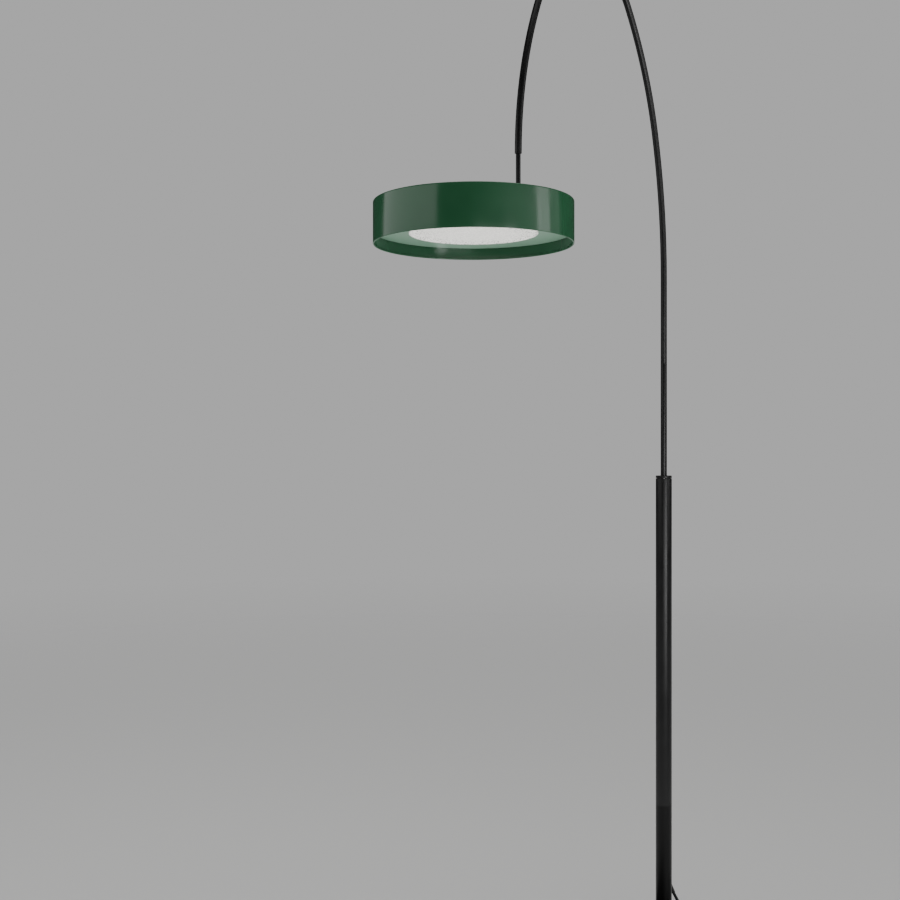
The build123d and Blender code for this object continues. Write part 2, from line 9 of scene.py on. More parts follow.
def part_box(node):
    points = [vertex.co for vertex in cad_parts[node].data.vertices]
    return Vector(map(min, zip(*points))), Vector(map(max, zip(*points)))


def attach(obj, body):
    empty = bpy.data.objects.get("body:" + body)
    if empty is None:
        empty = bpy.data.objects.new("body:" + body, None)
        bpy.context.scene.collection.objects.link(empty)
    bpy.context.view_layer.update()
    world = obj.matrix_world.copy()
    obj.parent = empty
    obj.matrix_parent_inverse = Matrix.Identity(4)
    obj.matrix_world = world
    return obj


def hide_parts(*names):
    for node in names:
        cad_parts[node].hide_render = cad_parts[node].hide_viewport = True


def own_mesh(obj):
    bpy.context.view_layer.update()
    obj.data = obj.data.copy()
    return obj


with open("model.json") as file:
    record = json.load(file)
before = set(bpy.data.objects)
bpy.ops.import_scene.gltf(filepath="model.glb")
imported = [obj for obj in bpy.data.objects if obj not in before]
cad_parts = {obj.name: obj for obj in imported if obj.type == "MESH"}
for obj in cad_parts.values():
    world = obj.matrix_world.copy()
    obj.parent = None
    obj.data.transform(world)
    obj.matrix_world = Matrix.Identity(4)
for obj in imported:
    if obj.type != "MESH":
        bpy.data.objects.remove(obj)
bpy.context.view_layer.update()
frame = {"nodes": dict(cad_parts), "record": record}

# An arched floor lamp: base, pole, arched rod and drum head. Everything is in metres.
# The arm reaches toward -X, and the pole stands off centre on the base, toward +X.

MM = 0.001


# ---------------------------------------------------------------- places read from the frame
def middle(node):
    """The middle of a CAD node's box."""
    low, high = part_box(node)
    return (Vector(low) + Vector(high)) / 2


def half_width(node):
    """Half of a CAD node's box along X."""
    low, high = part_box(node)
    return (high[0] - low[0]) / 2


def levels(node):
    """The lowest and highest level of a CAD node."""
    low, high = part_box(node)
    return low[2], high[2]


POLE_X = middle("pole_tube").x
TIP_X = middle("end_rod").x
HEAD_X = middle("shade_shell").x
HEAD_LOW, HEAD_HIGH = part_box("shade_shell")[0][2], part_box("shade_shell")[1][2]
HEAD_R = 190 * MM
POLE, HEAD, TIP = (POLE_X, 0), (HEAD_X, 0), (TIP_X, 0)
UP = Vector((0, 0, 1))

# ---------------------------------------------------------------- camera
VIEW_AZIMUTH = radians(-47)
TO_CAMERA = Vector((sin(VIEW_AZIMUTH), -cos(VIEW_AZIMUTH), 0))
TO_RIGHT = Vector((cos(VIEW_AZIMUTH), sin(VIEW_AZIMUTH), 0))
CAMERA_HEIGHT = 1.089
POLE_DEPTH = 2.836
POLE_OFFSET = 0.485

camera_data = bpy.data.cameras.new("camera")
camera_data.sensor_width = 36
camera_data.lens = 50
camera = bpy.data.objects.new("camera", camera_data)
camera.location = (
    Vector((POLE_X, 0, CAMERA_HEIGHT)) + TO_CAMERA * POLE_DEPTH - TO_RIGHT * POLE_OFFSET
)
camera.rotation_euler = (pi / 2, 0, VIEW_AZIMUTH)
bpy.context.collection.objects.link(camera)
bpy.context.scene.camera = camera


# ---------------------------------------------------------------- material helpers
def new_material(name):
    """A new material, with its node tree and its Principled shader."""
    material = bpy.data.materials.new(name)
    material.use_nodes = True
    tree = material.node_tree
    return material, tree, tree.nodes["Principled BSDF"]


def coords(tree, stretch=(1, 1, 1)):
    """Object coordinates in metres, with the axes scaled."""
    source = tree.nodes.new("ShaderNodeTexCoord")
    mapping = tree.nodes.new("ShaderNodeMapping")
    mapping.inputs["Scale"].default_value = stretch
    tree.links.new(source.outputs["Object"], mapping.inputs["Vector"])
    return mapping.outputs["Vector"]


def noise(tree, vector, scale, detail=3, rough=0.5):
    """The value of a noise texture."""
    node = tree.nodes.new("ShaderNodeTexNoise")
    node.inputs["Scale"].default_value = scale
    node.inputs["Detail"].default_value = detail
    node.inputs["Roughness"].default_value = rough
    tree.links.new(vector, node.inputs["Vector"])
    return node.outputs["Fac"]


def spread(tree, value, low, high, start=0.35, end=0.65):
    """Map a value's range start..end to low..high."""
    node = tree.nodes.new("ShaderNodeMapRange")
    node.inputs["From Min"].default_value = start
    node.inputs["From Max"].default_value = end
    node.inputs["To Min"].default_value = low
    node.inputs["To Max"].default_value = high
    tree.links.new(value, node.inputs["Value"])
    return node.outputs["Result"]


def mix_colours(tree, factor, colour_a, colour_b):
    """Blend two colours, each a tuple or a socket, by a factor socket."""
    node = tree.nodes.new("ShaderNodeMix")
    node.data_type = "RGBA"
    tree.links.new(factor, node.inputs["Factor"])
    for key, colour in (("A", colour_a), ("B", colour_b)):
        socket = [s for s in node.inputs if s.name == key and s.type == "RGBA"][0]
        if isinstance(colour, tuple):
            socket.default_value = (*colour, 1)
        else:
            tree.links.new(colour, socket)
    return [s for s in node.outputs if s.type == "RGBA"][0]


def add_bump(tree, shader, heights):
    """Chain bumps onto the shader: each is (height socket, distance in metres, strength)."""
    normal = None
    for height, distance, strength in heights:
        bump = tree.nodes.new("ShaderNodeBump")
        bump.inputs["Distance"].default_value = distance
        bump.inputs["Strength"].default_value = strength
        tree.links.new(height, bump.inputs["Height"])
        if normal is not None:
            tree.links.new(normal, bump.inputs["Normal"])
        normal = bump.outputs["Normal"]
    tree.links.new(normal, shader.inputs["Normal"])


def edge_wear(tree, low=0.52, high=0.62):
    """A mask that is white on sharp outer edges."""
    geometry = tree.nodes.new("ShaderNodeNewGeometry")
    return spread(tree, geometry.outputs["Pointiness"], 0, 1, low, high)


# ---------------------------------------------------------------- materials
def lacquer(name, dark, light, worn, roughness, grain, grain_depth, shine=0.5):
    """Sprayed lacquer: slow colour drift, uneven gloss, orange peel, and worn edges."""
    material, tree, shader = new_material(name)
    vector = coords(tree)
    drift = spread(tree, noise(tree, vector, 9, 2), 0, 1)
    base = mix_colours(tree, drift, dark, light)
    scuffs = noise(tree, vector, 130, 4, 0.7)
    wear = tree.nodes.new("ShaderNodeMath")
    wear.operation = "MULTIPLY"
    tree.links.new(edge_wear(tree), wear.inputs[0])
    tree.links.new(spread(tree, scuffs, 0, 0.5, 0.45, 0.7), wear.inputs[1])
    tree.links.new(mix_colours(tree, wear.outputs[0], base, worn), shader.inputs["Base Color"])
    gloss = spread(tree, noise(tree, vector, 18, 1), *roughness, 0, 1)
    tree.links.new(gloss, shader.inputs["Roughness"])
    add_bump(tree, shader, [
        (noise(tree, vector, 70, 1), 0.0004, 0.05),
        (noise(tree, vector, grain, 2), grain_depth, 0.25),
    ])
    shader.inputs["Specular IOR Level"].default_value = shine
    return material


def moulded(name, dark, light, roughness=(0.42, 0.6), grain=1500):
    """Moulded plastic or rubber with a fine even grain."""
    material, tree, shader = new_material(name)
    vector = coords(tree)
    drift = spread(tree, noise(tree, vector, 40, 3), 0, 1)
    tree.links.new(mix_colours(tree, drift, dark, light), shader.inputs["Base Color"])
    gloss = spread(tree, noise(tree, vector, 90, 3), *roughness, 0.3, 0.7)
    tree.links.new(gloss, shader.inputs["Roughness"])
    add_bump(tree, shader, [(noise(tree, vector, grain, 2, 0.6), 0.00006, 0.5)])
    return material


def bare_metal(name, dark, light, stretch, roughness=(0.25, 0.42)):
    """Bare metal with fine turning or brushing lines along one direction."""
    material, tree, shader = new_material(name)
    lines = noise(tree, coords(tree, stretch), 60, 4, 0.7)
    patches = noise(tree, coords(tree), 55, 3)
    tree.links.new(mix_colours(tree, patches, dark, light), shader.inputs["Base Color"])
    tree.links.new(spread(tree, lines, *roughness), shader.inputs["Roughness"])
    shader.inputs["Metallic"].default_value = 1
    add_bump(tree, shader, [(lines, 0.00004, 0.4)])
    return material


def cast_metal(name):
    """Rough cast iron under a thin dark primer."""
    material, tree, shader = new_material(name)
    vector = coords(tree)
    pits = noise(tree, vector, 420, 5, 0.7)
    tree.links.new(
        mix_colours(tree, spread(tree, pits, 0, 1), (0.035, 0.034, 0.033), (0.11, 0.105, 0.1)),
        shader.inputs["Base Color"],
    )
    tree.links.new(spread(tree, pits, 0.6, 0.85), shader.inputs["Roughness"])
    shader.inputs["Metallic"].default_value = 0.6
    add_bump(tree, shader, [(pits, 0.0004, 0.6)])
    return material


def opal_acrylic(name):
    """Opal sheet with a fine grain in its face, dark dots of painted reflection near its rim, and a
    faint glow.
    """
    material, tree, shader = new_material(name)
    vector = coords(tree)
    cells = tree.nodes.new("ShaderNodeTexVoronoi")
    cells.feature = "F1"
    cells.inputs["Scale"].default_value = 420
    cells.inputs["Randomness"].default_value = 0.35
    tree.links.new(vector, cells.inputs["Vector"])
    shade = spread(tree, cells.outputs["Distance"], 0, 1, 0.1, 0.75)
    colour = mix_colours(tree, shade, (0.93, 0.925, 0.88), (0.76, 0.75, 0.71))
    from_middle = tree.nodes.new("ShaderNodeVectorMath")
    from_middle.operation = "DISTANCE"
    tree.links.new(vector, from_middle.inputs[0])
    from_middle.inputs[1].default_value = (HEAD_X, 0, middle("diffuser").z)
    near_rim = spread(tree, from_middle.outputs["Value"], 0, 1, 0.055, 0.108)
    # Dark dots near the rim, put into the colour: a painted reflection of darker surroundings in the
    # prisms.
    dots = tree.nodes.new("ShaderNodeTexVoronoi")
    dots.inputs["Scale"].default_value = 170
    dots.inputs["Randomness"].default_value = 0.8
    tree.links.new(vector, dots.inputs["Vector"])
    painted_reflection_dots = tree.nodes.new("ShaderNodeMath")
    painted_reflection_dots.operation = "MULTIPLY"
    tree.links.new(near_rim, painted_reflection_dots.inputs[0])
    tree.links.new(spread(tree, dots.outputs["Distance"], 1, 0, 0.24, 0.32), painted_reflection_dots.inputs[1])
    colour = mix_colours(tree, painted_reflection_dots.outputs[0], colour, (0.22, 0.22, 0.21))
    tree.links.new(colour, shader.inputs["Base Color"])
    tree.links.new(
        spread(tree, noise(tree, vector, 240, 3), 0.14, 0.34), shader.inputs["Roughness"]
    )
    shader.inputs["Subsurface Weight"].default_value = 0.15
    shader.inputs["Subsurface Radius"].default_value = (0.004, 0.004, 0.004)
    glow = spread(tree, noise(tree, vector, 14, 2), 0.12, 0.15, 0.3, 0.7)
    tree.links.new(colour, shader.inputs["Emission Color"])
    tree.links.new(glow, shader.inputs["Emission Strength"])
    add_bump(tree, shader, [(cells.outputs["Distance"], 0.0011, 0.9)])
    return material


def woven(name):
    """A black woven strap: threads over and under each other."""
    material, tree, shader = new_material(name)
    threads = tree.nodes.new("ShaderNodeTexWave")
    threads.wave_type = "BANDS"
    threads.bands_direction = "Z"
    threads.inputs["Scale"].default_value = 380
    threads.inputs["Distortion"].default_value = 1.2
    tree.links.new(coords(tree), threads.inputs["Vector"])
    fuzz = noise(tree, coords(tree), 1600, 3, 0.7)
    tree.links.new(
        mix_colours(tree, threads.outputs["Fac"], (0.008, 0.008, 0.009), (0.03, 0.03, 0.032)),
        shader.inputs["Base Color"],
    )
    tree.links.new(spread(tree, fuzz, 0.7, 0.95), shader.inputs["Roughness"])
    add_bump(tree, shader, [(threads.outputs["Fac"], 0.0003, 0.5), (fuzz, 0.0002, 0.5)])
    return material


def circuit_board(name):
    """White solder mask with faint copper tracks under it."""
    material, tree, shader = new_material(name)
    vector = coords(tree)
    tracks = tree.nodes.new("ShaderNodeTexVoronoi")
    tracks.feature = "DISTANCE_TO_EDGE"
    tracks.distance = "EUCLIDEAN"
    tracks.inputs["Scale"].default_value = 90
    tree.links.new(vector, tracks.inputs["Vector"])
    edge = spread(tree, tracks.outputs["Distance"], 0, 1, 0.02, 0.08)
    tree.links.new(
        mix_colours(tree, edge, (0.62, 0.63, 0.6), (0.82, 0.83, 0.81)),
        shader.inputs["Base Color"],
    )
    tree.links.new(
        spread(tree, noise(tree, vector, 200), 0.3, 0.45), shader.inputs["Roughness"]
    )
    add_bump(tree, shader, [(edge, 0.00005, 0.5)])
    return material


GREEN = lacquer(
    "green_lacquer", (0.0115, 0.065, 0.0275), (0.0155, 0.077, 0.0335), (0.05, 0.13, 0.075),
    (0.07, 0.24), 620, 0.00010,
)
PLATE = lacquer(
    "green_satin", (0.115, 0.205, 0.145), (0.135, 0.230, 0.165), (0.135, 0.230, 0.165),
    (0.27, 0.35), 620, 0.00004,
)
BLACK = lacquer(
    "black_lacquer", (0.0018, 0.0018, 0.0019), (0.0034, 0.0034, 0.0035), (0.03, 0.03, 0.03),
    (0.25, 0.43), 1400, 0.00004, shine=0.32,
)
CAST = cast_metal("cast_iron")
STEEL = bare_metal("zinc_steel", (0.42, 0.42, 0.43), (0.58, 0.58, 0.58), (1, 1, 8))
ALUMINIUM = bare_metal("rolled_aluminium", (0.62, 0.62, 0.63), (0.74, 0.74, 0.75), (12, 1, 1))
NICKEL = bare_metal("nickel_plate", (0.6, 0.58, 0.52), (0.72, 0.7, 0.65), (6, 1, 1), (0.16, 0.3))
OPAL = opal_acrylic("opal_acrylic")
BOARD = circuit_board("circuit_board")
WHITE_PLASTIC = moulded("white_plastic", (0.68, 0.68, 0.66), (0.76, 0.76, 0.74))
ACETAL = moulded("acetal", (0.6, 0.59, 0.55), (0.68, 0.67, 0.62), (0.35, 0.5))
BLACK_PLASTIC = moulded("black_plastic", (0.011, 0.011, 0.012), (0.019, 0.019, 0.02))
RUBBER = moulded("black_rubber", (0.012, 0.012, 0.012), (0.022, 0.021, 0.02), (0.62, 0.8), 900)
JACKET = moulded("lead_jacket", (0.008, 0.008, 0.009), (0.014, 0.014, 0.015), (0.4, 0.52), 700)
STRAP = woven("woven_strap")
PHOSPHOR = moulded("phosphor", (0.8, 0.62, 0.2), (0.88, 0.72, 0.3), (0.3, 0.45))

CAD_MATERIALS = {
    "green_lacquer": GREEN, "green_plate": PLATE, "black_lacquer": BLACK, "cast_weight": CAST,
    "bare_steel": STEEL, "bare_aluminium": ALUMINIUM, "opal_diffuser": OPAL,
    "white_plastic": WHITE_PLASTIC, "black_plastic": BLACK_PLASTIC, "bearing_plastic": ACETAL,
    "black_rubber": RUBBER, "lead_jacket": JACKET, "led_phosphor": PHOSPHOR, "pin_brass": NICKEL,
}
slot_of_node = {s["node"]: s["material_slot"] for s in frame["record"]["subparts"]}


def dress_cad_nodes():
    """Give every CAD node the material of its slot, with two nodes set apart."""
    for node, piece in frame["nodes"].items():
        material = CAD_MATERIALS[slot_of_node[node]]
        if node == "led_board":
            material = BOARD
        elif node == "thrust_washer":
            material = BLACK_PLASTIC
        if not piece.material_slots:
            piece.data.materials.append(material)
        for slot in piece.material_slots:
            slot.material = material


dress_cad_nodes()


# ---------------------------------------------------------------- mesh helpers
def new_piece(name, mesh, material, body, slot, *replaced):
    """Link a mesh as a visible piece that rides on a CAD body."""
    piece = bpy.data.objects.new(name, mesh)
    bpy.context.collection.objects.link(piece)
    mesh.materials.append(material)
    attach(piece, body)
    if replaced:
        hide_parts(*replaced)
    return piece


def shade_smooth(mesh, angle=35):
    """Weld and tidy a mesh, and shade it smooth except at edges sharper than an angle."""
    bm = bmesh.new()
    bm.from_mesh(mesh)
    bmesh.ops.remove_doubles(bm, verts=bm.verts, dist=1e-7)
    bmesh.ops.dissolve_degenerate(bm, edges=bm.edges, dist=1e-8)
    bmesh.ops.recalc_face_normals(bm, faces=bm.faces)
    for face in bm.faces:
        face.smooth = True
    for edge in bm.edges:
        if len(edge.link_faces) == 2:
            edge.smooth = edge.calc_face_angle(0) < radians(angle)
    bm.to_mesh(mesh)
    bm.free()


def rounded(corners, steps=5):
    """A closed outline in a plane from (u, v, radius) corners, each rounded by its radius."""
    points = []
    count = len(corners)
    for i, (u, v, radius) in enumerate(corners):
        corner = Vector((u, v))
        if radius <= 0:
            points.append(corner)
            continue
        before = (Vector(corners[i - 1][:2]) - corner).normalized()
        after = (Vector(corners[(i + 1) % count][:2]) - corner).normalized()
        half = before.angle(after) / 2
        reach = radius / tan(half)
        centre = corner + (before + after).normalized() * (radius / sin(half))
        start = corner + before * reach - centre
        turn = start.angle_signed(corner + after * reach - centre)
        for step in range(steps + 1):
            points.append(centre + Matrix.Rotation(-turn * step / steps, 2) @ start)
    return [(p.x, p.y) for p in points]


def joined_rings(name, rings, closed):
    """A mesh through rings of as many points each: closed on itself, or with its ends capped."""
    count = len(rings[0])
    vertices = [point for ring in rings for point in ring]
    faces = []
    last = len(rings) if closed else len(rings) - 1
    for row in range(last):
        here, there = row * count, (row + 1) % len(rings) * count
        for step in range(count):
            after = (step + 1) % count
            faces.append((here + step, here + after, there + after, there + step))
    if not closed:
        faces.append(tuple(reversed(range(count))))
        faces.append(tuple(range(len(vertices) - count, len(vertices))))
    mesh = bpy.data.meshes.new(name)
    mesh.from_pydata(vertices, [], faces)
    shade_smooth(mesh)
    return mesh


def circle(centre, side, up, radius, segments):
    """Points round a centre, in the plane of two cross axes."""
    turns = [2 * pi * step / segments for step in range(segments)]
    return [centre + side * (radius * cos(turn)) + up * (radius * sin(turn)) for turn in turns]


def lathe(name, outline, axis, material, body, slot, *replaced, segments=160):
    """Turn a closed (radius, height) outline about the vertical axis through (x, y)."""
    east, north = Vector((1, 0, 0)), Vector((0, 1, 0))
    rings = [
        circle(Vector((*axis, height)), east, north, radius, segments)
        for radius, height in outline
    ]
    mesh = joined_rings(name, rings, closed=True)
    return new_piece(name, mesh, material, body, slot, *replaced)


def pipe(name, points, radii, material, body, slot, *replaced, bore=None, segments=40):
    """A round bar along points with a radius at each, or a tube if it has a bore."""
    side = (points[1] - points[0]).orthogonal().normalized()
    outer, inner = [], []
    for i, (point, radius) in enumerate(zip(points, radii)):
        direction = (points[min(i + 1, len(points) - 1)] - points[max(i - 1, 0)]).normalized()
        side = (side - direction * side.dot(direction)).normalized()
        up = direction.cross(side)
        outer.append(circle(point, side, up, radius, segments))
        if bore is not None:
            inner.append(circle(point, side, up, bore, segments))
    mesh = joined_rings(name, outer + inner[::-1], closed=bore is not None)
    return new_piece(name, mesh, material, body, slot, *replaced)


def along(start, direction, distances):
    """Points on a straight line at distances from its start."""
    return [start + direction * distance for distance in distances]


def combine(piece, other, operation):
    """Cut a piece by another, or keep only what they share, and drop the other."""
    modifier = piece.modifiers.new("combine", "BOOLEAN")
    modifier.object = other
    modifier.operation = operation
    modifier.solver = "EXACT"
    bpy.context.view_layer.update()
    evaluated = piece.evaluated_get(bpy.context.evaluated_depsgraph_get())
    result = bpy.data.meshes.new_from_object(evaluated)
    piece.modifiers.clear()
    old, piece.data = piece.data, result
    shade_smooth(result)
    bpy.data.meshes.remove(old)
    tool = other.data
    bpy.data.objects.remove(other)
    bpy.data.meshes.remove(tool)
    result.name = piece.name


def coiled(name, node, wire, turns, material, body, slot):
    """A round wire or lead wound up the axis of a CAD node's box, its ends drawn in to the axis."""
    low, high = (Vector(corner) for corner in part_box(node))
    centre, radius = (low + high) / 2, (high.x - low.x) / 2 - wire
    bottom, height = low.z + wire, high.z - low.z - 2 * wire
    steps_per_turn, run_in = 20, 0.6
    points = []
    for step in range(turns * steps_per_turn + 1):
        turn = step / steps_per_turn
        reach = radius * min(1, turn / run_in, (turns - turn) / run_in)
        angle = 2 * pi * turn
        points.append(Vector((
            centre.x + reach * cos(angle), centre.y + reach * sin(angle),
            bottom + height * turn / turns,
        )))
    return pipe(name, points, [wire] * len(points), material, body, slot, node, segments=12)


def drill(piece, start, direction, radius, length):
    """Cut a round hole through a piece."""
    side = direction.orthogonal().normalized()
    up = direction.cross(side)
    ends = [circle(start + direction * d, side, up, radius, 48) for d in (0, length)]
    bit = bpy.data.objects.new("bit", joined_rings("bit", ends, closed=False))
    bpy.context.collection.objects.link(bit)
    combine(piece, bit, "DIFFERENCE")


# ---------------------------------------------------------------- mains lead
# The route's points are those of the CAD lead. Heights are of the lead's centreline.
CORD_R = 3.5 * MM
SWITCH_X, SWITCH_Y = middle("switch_base").x, middle("switch_base").y
SWITCH_HALF = 32 * MM
COIL_X, COIL_Y = middle("cord_coil").x, middle("cord_coil").y
COIL_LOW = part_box("cord_coil")[0][2]
OUTER_TURN, INNER_TURN = 45.5 * MM, 31 * MM
COIL_LINE = COIL_LOW + CORD_R
EXIT_SLOPE = radians(54)
EXIT_DIR = Vector((cos(EXIT_SLOPE), 0, -sin(EXIT_SLOPE)))
EXIT_POINT = Vector((POLE_X + 18 * MM, 0, 105 * MM))
RELIEF_START, RELIEF_LENGTH = 7 * MM, 30 * MM
LEAD_START = EXIT_POINT + EXIT_DIR * (RELIEF_START + RELIEF_LENGTH)
PLUG_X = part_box("plug_body")[1][0]
PLUG_Y = COIL_Y - OUTER_TURN - 4 * MM
PLUG_Z = 7.2 * MM


def coil_turns():
    """Two layers of turns, run clockwise: the lower from the outside in, the upper back out."""
    turns_per_layer, steps = 3, 16
    made = []
    for step in range(1, 2 * turns_per_layer * steps + steps // 4 - 2):
        turn = step / steps
        angle = -2 * pi * turn
        if turn <= turns_per_layer:
            inward = min(turn / (turns_per_layer - 1), 1)
        else:
            inward = 1 - min((turn - turns_per_layer) / (turns_per_layer - 1), 1)
        climb = min(max((turn - turns_per_layer + 0.5) * 2, 0), 1)
        radius = OUTER_TURN + (INNER_TURN - OUTER_TURN) * inward
        height = COIL_LINE + 2 * CORD_R * climb * climb * (3 - 2 * climb)
        made.append((COIL_X + radius * cos(angle), COIL_Y + radius * sin(angle), height))
    return made


def mm(x, y, z):
    """A point given in millimetres from the pole's axis on the floor."""
    return (POLE_X + x * MM, y * MM, z * MM)


route = [
    tuple(LEAD_START),
    mm(57, 0, 51.3),
    mm(76, -1, 29),
    mm(98, -4, 11),
    mm(123, -13, 4.5),
    mm(141, -32, 4.0),
    (SWITCH_X, SWITCH_Y + SWITCH_HALF - 1 * MM, 8 * MM),
    (SWITCH_X - 0.5 * MM, SWITCH_Y - SWITCH_HALF - 1 * MM, 8 * MM),
    (COIL_X + OUTER_TURN, COIL_Y + 4 * MM, COIL_LINE),
    *coil_turns(),
    (COIL_X - 20 * MM, PLUG_Y, PLUG_Z),
    (PLUG_X, PLUG_Y, PLUG_Z),
]


def make_cord():
    """The whole lead as one smooth curve."""
    curve = bpy.data.curves.new("mains_lead", "CURVE")
    curve.dimensions = "3D"
    spline = curve.splines.new("NURBS")
    spline.points.add(len(route) - 1)
    for point, place in zip(spline.points, route):
        point.co = (*place, 1)
    spline.order_u = 3
    spline.use_endpoint_u = True
    spline.resolution_u = 6
    curve.bevel_depth = CORD_R
    curve.bevel_resolution = 5
    curve.use_fill_caps = True
    cord = bpy.data.objects.new("mains_lead", curve)
    bpy.context.collection.objects.link(cord)
    curve.materials.append(JACKET)
    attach(cord, "root")
    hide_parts("cord", "cord_tail", "cord_coil")
    return cord


def make_gland():
    """A moulded bush in the pole's wall, with a lip and two snap grooves."""
    profile = (
        (-9, 5.3), (-8.4, 5.9), (-4, 5.9), (-3.8, 5.3), (-2.4, 5.3), (-2.2, 5.9), (1.5, 5.9),
        (1.7, 5.5), (2.5, 5.5), (2.7, 6.0), (6.4, 6.0), (7, 5.5),
    )
    points = along(EXIT_POINT, EXIT_DIR, [distance * MM for distance, _ in profile])
    return pipe("cord_bush", points, [radius * MM for _, radius in profile], BLACK_PLASTIC,
                "root", "black_plastic", "cord_gland", bore=CORD_R + 0.1 * MM)


def make_strain_relief():
    """A tapered rubber boot with seven ribs."""
    ribs = 7
    pitch = RELIEF_LENGTH / ribs
    start_r, end_r, depth = 5.4 * MM, 4.2 * MM, 0.85 * MM
    rows = []
    for rib in range(ribs):
        for place, cut in ((0.02, 0.35), (0.1, 0), (0.52, 0), (0.6, 0.3), (0.66, 1), (0.94, 1)):
            if rib == ribs - 1 and cut == 1:
                continue
            distance = (rib + place) * pitch
            radius = start_r + (end_r - start_r) * distance / RELIEF_LENGTH
            rows.append((RELIEF_START + distance, max(radius - cut * depth, CORD_R + 0.35 * MM)))
    rows.append((RELIEF_START + RELIEF_LENGTH, CORD_R + 0.4 * MM))
    points = along(EXIT_POINT, EXIT_DIR, [distance for distance, _ in rows])
    return pipe("relief_boot", points, [radius for _, radius in rows], RUBBER, "root",
                "black_rubber", "strain_relief", bore=CORD_R + 0.05 * MM)


def oval(inset, height, half_x, half_y, corner, centre):
    """A level ring of points round a rounded rectangle."""
    u, v, r = half_x - inset, half_y - inset, max(corner - inset, 0.5 * MM)
    steps, side_points = 12, 8
    plan = rounded([(u, v, r), (u, -v, r), (-u, -v, r), (-u, v, r)], steps=steps)
    ring = []
    for i, (x, y) in enumerate(plan):
        ring.append(Vector((centre[0] + x, centre[1] + y, height)))
        if i % (steps + 1) == steps:
            next_x, next_y = plan[(i + 1) % len(plan)]
            side = Vector((next_x - x, next_y - y, 0))
            ring += [ring[-1] + side * step / side_points for step in range(1, side_points)]
    return ring


SWITCH_WIDE = half_width("switch_base")
SWITCH_CORNER = 20 * MM
SWITCH_WALL = 2 * MM
SWITCH = (SWITCH_X, SWITCH_Y)
BUTTON_R = 11.5 * MM


def switch_ring(inset, height):
    """A level ring of the foot switch's outline."""
    return oval(inset, height, SWITCH_WIDE, SWITCH_HALF, SWITCH_CORNER, SWITCH)


def cut_cord_way(piece):
    """Cut the lead's way in and out of the foot switch."""
    start = Vector((SWITCH_X, SWITCH_Y - SWITCH_HALF - 5 * MM, 8 * MM))
    drill(piece, start, Vector((0, 1, 0)), CORD_R + 0.8 * MM, 2 * SWITCH_HALF + 10 * MM)


def make_switch_base():
    """The foot switch's tray, with a foot lip and a step that the cover sits on."""
    low, high = levels("switch_base")
    rings = [
        switch_ring(2.2 * MM, low),
        switch_ring(1.2 * MM, low),
        switch_ring(0.9 * MM, low + 0.3 * MM),
        switch_ring(0, low + 1.4 * MM),
        switch_ring(0, high - 0.5 * MM),
        switch_ring(0.3 * MM, high - 0.3 * MM),
        switch_ring(0.4 * MM, high),
        switch_ring(SWITCH_WALL, high),
        switch_ring(SWITCH_WALL, low + 2.6 * MM),
        switch_ring(SWITCH_WALL + 0.6 * MM, low + SWITCH_WALL),
    ]
    mesh = joined_rings("switch_tray", rings, closed=False)
    piece = new_piece("switch_tray", mesh, BLACK_PLASTIC, "root", "black_plastic", "switch_base")
    cut_cord_way(piece)
    return piece


def make_switch_cover():
    """The foot switch's domed cover, with a raised collar round the button."""
    low, high = levels("switch_cover")
    collar = BUTTON_R + 0.4 * MM
    dome, steps = 5 * MM, 6
    rings = [switch_ring(0.4 * MM, low), switch_ring(0.1 * MM, low + 0.3 * MM)]
    for step in range(steps + 1):
        turn = pi / 2 * step / steps
        rings.append(switch_ring(dome * (1 - cos(turn)), high - 0.5 * MM - dome * (1 - sin(turn))))
    flat = rings[-1]

    def hole_ring(radius, height):
        """A circle with one point for each point of the flat's outline."""
        made = []
        for point in flat:
            outward = Vector((point.x - SWITCH_X, point.y - SWITCH_Y, 0)).normalized()
            made.append(Vector((SWITCH_X, SWITCH_Y, height)) + outward * radius)
        return made

    rings += [
        hole_ring(collar + 2.6 * MM, high - 0.5 * MM),
        hole_ring(collar + 2.2 * MM, high - 0.05 * MM),
        hole_ring(collar + 1.8 * MM, high),
        hole_ring(collar + 0.3 * MM, high),
        hole_ring(collar, high - 0.3 * MM),
        hole_ring(collar, high - SWITCH_WALL),
        switch_ring(SWITCH_WALL + 3 * MM, high - SWITCH_WALL),
        switch_ring(SWITCH_WALL, high - SWITCH_WALL - 3 * MM),
        switch_ring(SWITCH_WALL, low),
    ]
    mesh = joined_rings("switch_lid", rings, closed=True)
    piece = new_piece("switch_lid", mesh, BLACK_PLASTIC, "root", "black_plastic", "switch_cover")
    cut_cord_way(piece)
    return piece


def make_switch_button():
    """The round push button: dished, with three grip rings."""
    low, high = levels("switch_button")
    flange = BUTTON_R + 2 * MM
    outline = [(0, high - 0.9 * MM)]
    for ring in (3.2, 5.6, 8.0):
        base = high - 0.9 * MM + 0.7 * MM * (ring * MM / BUTTON_R) ** 2
        outline += [
            (ring * MM, base), (ring * MM + 0.25 * MM, base + 0.45 * MM),
            (ring * MM + 0.85 * MM, base + 0.45 * MM), (ring * MM + 1.1 * MM, base),
        ]
    outline += rounded([
        (10 * MM, high - 0.2 * MM, 0.4 * MM),
        (10.4 * MM, high, 0.3 * MM),
        (BUTTON_R, high, 1 * MM),
        (BUTTON_R, high - 6 * MM, 0.3 * MM),
        (flange, high - 6 * MM, 0.3 * MM),
        (flange, low, 0.3 * MM),
        (0, low, 0),
    ], steps=4)
    return lathe("push_button", outline, SWITCH, BLACK_PLASTIC, "button", "black_plastic",
                 "switch_button", segments=96)


